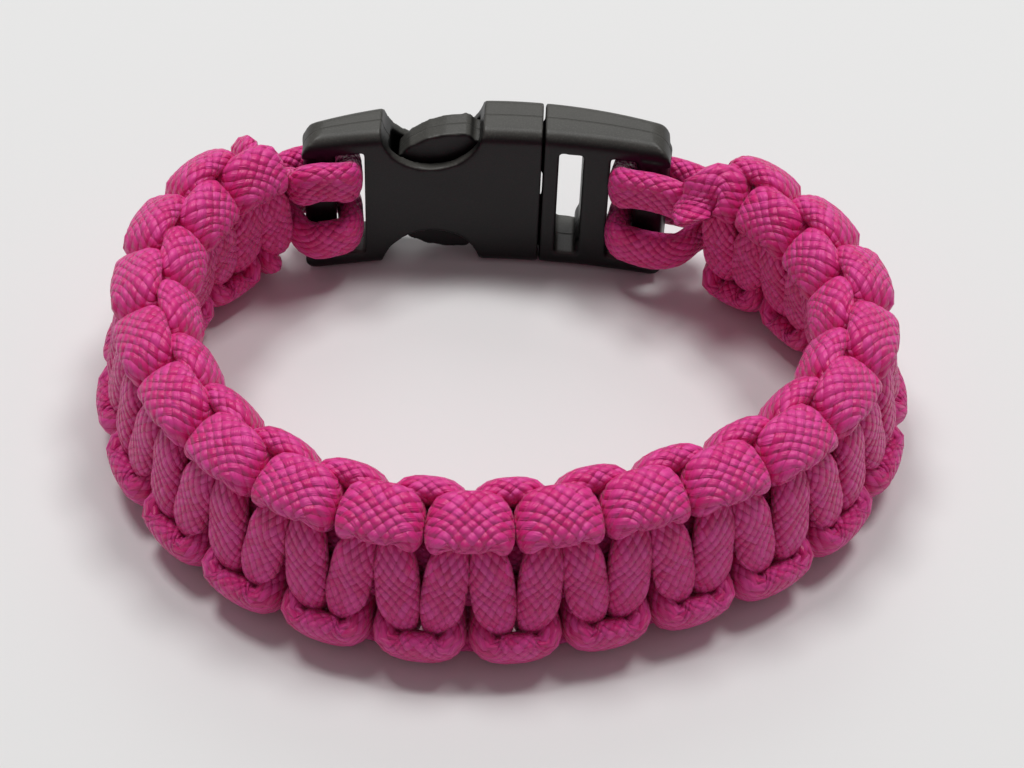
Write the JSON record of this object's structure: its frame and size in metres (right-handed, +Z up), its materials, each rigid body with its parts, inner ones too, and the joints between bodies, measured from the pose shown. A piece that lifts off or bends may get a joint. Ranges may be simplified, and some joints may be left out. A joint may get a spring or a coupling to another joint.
{
  "type": "paracord bracelet",
  "caption": "Woven cord wristband in a cobra weave, standing on its edge as a closed oval, with a curved side-release buckle fastened at the back.",
  "frame": {"origin": "centre of the footprint, on the surface that the lower edge of the band stands on", "axes": "+Z up along the axis of the wrist opening, +Y towards the buckle, +X along the buckle from socket to prongs"},
  "size_m": [0.0835, 0.0642, 0.0193],
  "materials": {
    "buckle_plastic": "satin black moulded plastic",
    "weave_cord": "braided nylon sheath, bright pink with a slight shine",
    "core_cord": "braided nylon sheath, bright pink with a slight shine"
  },
  "bodies": {
    "root": {"buckle_socket": "buckle_plastic", "buckle_prongs": "buckle_plastic", "outer_weaver": "weave_cord", "inner_weaver": "weave_cord", "core_upper": "core_cord", "core_lower": "core_cord"}
  },
  "joints": []
}
